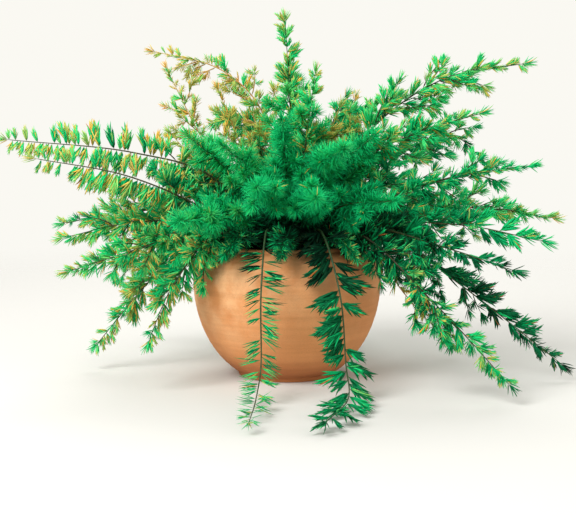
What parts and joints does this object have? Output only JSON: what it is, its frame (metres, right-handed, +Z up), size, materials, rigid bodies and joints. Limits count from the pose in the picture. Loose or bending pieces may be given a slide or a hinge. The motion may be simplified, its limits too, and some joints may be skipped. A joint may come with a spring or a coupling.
{
  "type": "potted asparagus fern",
  "caption": "Asparagus fern (sold as air fern) with arching, drooping and trailing needle fronds, growing in a squat round terracotta pot.",
  "frame": {"origin": "centre of the pot's foot, on the pot's axis, in the plane that the pot stands on", "axes": "+Z up along the pot's axis, -Y the front that the two trailing stems hang over, +X to the right seen from the front"},
  "size_m": [0.551, 0.51, 0.3561],
  "materials": {
    "terracotta": "matte",
    "potting_soil": "matte",
    "foliage_green": "satin",
    "foliage_bright": "satin",
    "foliage_golden": "satin",
    "foliage_dark": "satin",
    "stem": "satin"
  },
  "bodies": {
    "root": {"pot": "terracotta", "soil": "potting_soil", "frond_left_long_upper": "foliage_green", "frond_left_long_lower": "foliage_green", "frond_left_mid_upper": "foliage_green", "frond_left_mid_lower": "foliage_green", "frond_left_low": "foliage_green", "frond_left_drooping": "foliage_green", "frond_left_drooping_short": "foliage_golden", "frond_arch_left": "foliage_golden", "frond_rising_left": "foliage_golden", "frond_rising_left_short": "foliage_golden", "frond_rising_left_low": "foliage_golden", "frond_rising_back_left": "foliage_golden", "frond_top": "foliage_bright", "frond_top_front": "foliage_bright", "frond_top_right": "foliage_golden", "frond_right_spike": "foliage_golden", "frond_right_rising": "foliage_green", "frond_right_upper": "foliage_green", "frond_right_curling": "foliage_green", "frond_right_mid": "foliage_green", "frond_right_level": "foliage_green", "frond_right_low_mid": "foliage_dark", "frond_right_low": "foliage_dark", "frond_right_drooping": "foliage_dark", "frond_right_drooping_front": "foliage_dark", "frond_right_drooping_back": "foliage_golden", "frond_front_plume_right": "foliage_bright", "frond_front_plume_mid": "foliage_bright", "frond_front_plume_left": "foliage_bright", "frond_front_plume_far_left": "foliage_bright", "frond_front_plume_far_right": "foliage_bright", "frond_front_plume_high": "foliage_bright", "frond_front_plume_upper_left": "foliage_bright", "frond_front_plume_upper_right": "foliage_bright", "frond_left_plume": "foliage_bright", "frond_front_skirt_left": "foliage_bright", "frond_front_skirt_mid": "foliage_bright", "frond_front_skirt_right": "foliage_bright", "frond_trailing_left": "foliage_dark", "frond_trailing_right": "foliage_dark", "frond_back_long_left": "foliage_green", "frond_back_long_mid": "foliage_green", "frond_back_long_right": "foliage_green", "frond_back_arch_left": "foliage_green", "frond_back_arch_right": "foliage_green", "frond_back_low_left": "foliage_green", "frond_back_low_mid": "foliage_green", "frond_back_low_right": "foliage_green", "frond_back_side_right": "foliage_green", "frond_back_plume_left": "foliage_bright", "frond_back_plume_right": "foliage_bright", "frond_back_plume_far_left": "foliage_bright", "frond_back_plume_far_right": "foliage_bright", "frond_back_skirt_left": "foliage_bright", "frond_back_skirt_right": "foliage_bright"}
  },
  "joints": []
}
